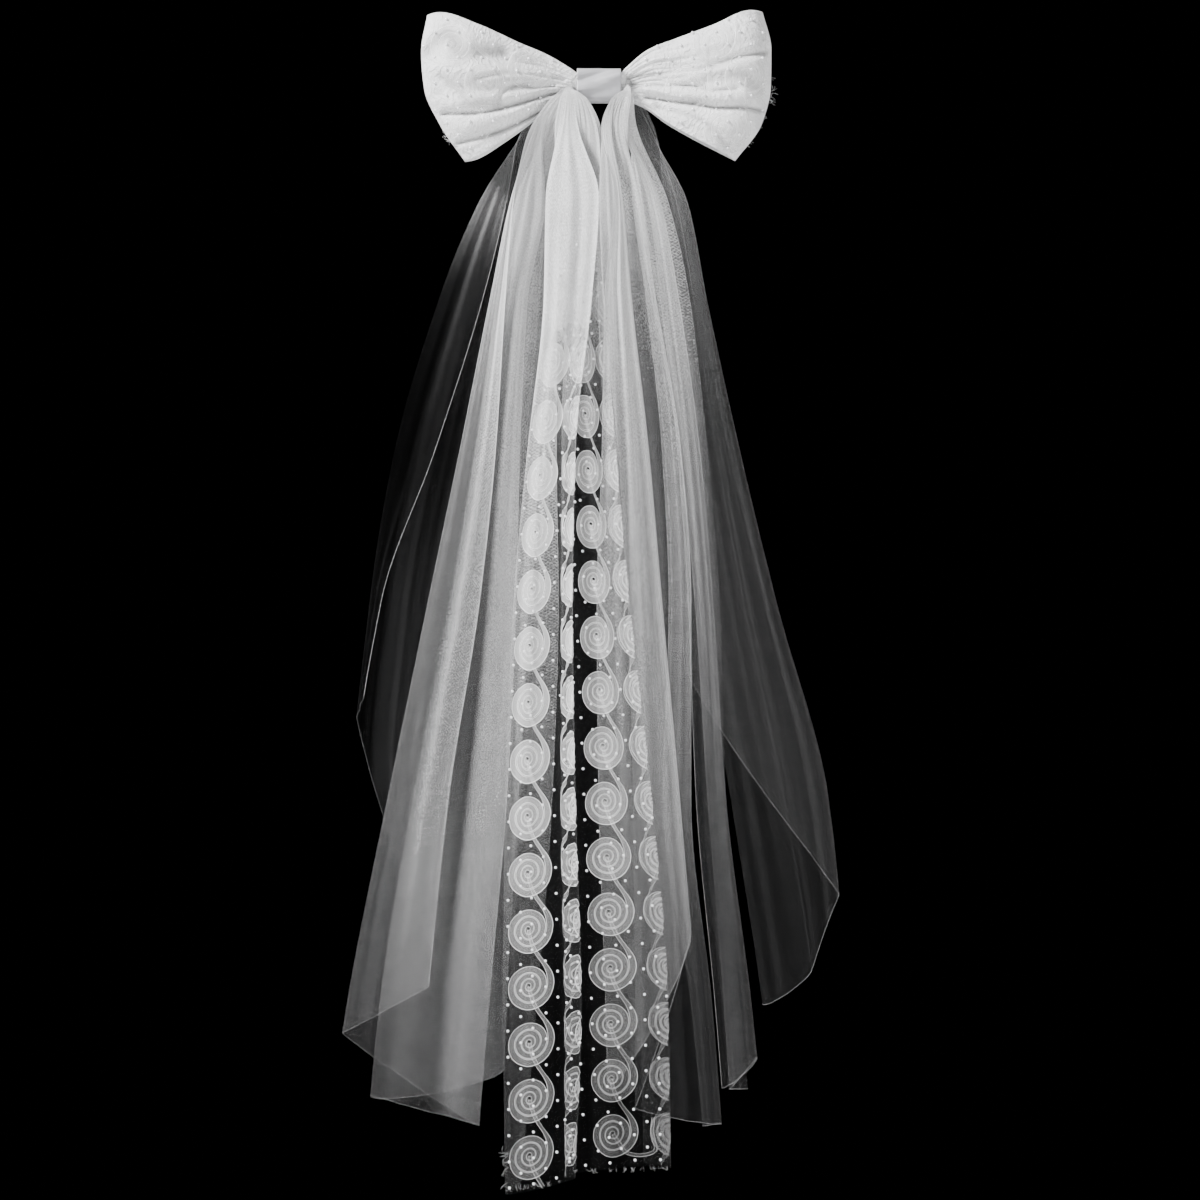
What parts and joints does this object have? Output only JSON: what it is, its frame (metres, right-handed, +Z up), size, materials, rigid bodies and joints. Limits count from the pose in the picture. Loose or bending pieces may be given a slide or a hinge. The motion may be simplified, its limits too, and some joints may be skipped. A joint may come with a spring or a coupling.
{
  "type": "lace bridal veil",
  "caption": "Bridal veil: a satin and lace bow with a wrapped knot, a pleated pearl lace panel and gathered tulle falls, on a hidden hair clip.",
  "frame": {"origin": "middle of the hair gap in the clip behind the knot", "axes": "+Z up, front towards -Y, +X to the viewer's right"},
  "size_m": [0.2851, 0.0673, 0.6732],
  "materials": {
    "knot_satin": "soft white satin",
    "bow_lace": "white satin under lace with wound ribbon and pearls",
    "panel_lace": "fine net with wound ribbon rosettes and seed pearls",
    "tulle": "white tulle in several layers",
    "sheer_tulle": "one layer of very fine tulle",
    "clip_steel": "plain brushed steel"
  },
  "bodies": {
    "root": {"knot_band": "knot_satin", "bow_loop_left": "bow_lace", "bow_loop_right": "bow_lace", "lace_panel": "panel_lace", "tulle_left": "tulle", "sheer_left": "sheer_tulle", "tulle_right_inner": "tulle", "tulle_right_outer": "tulle", "sheer_right": "sheer_tulle", "hair_clip": "clip_steel"}
  },
  "joints": []
}
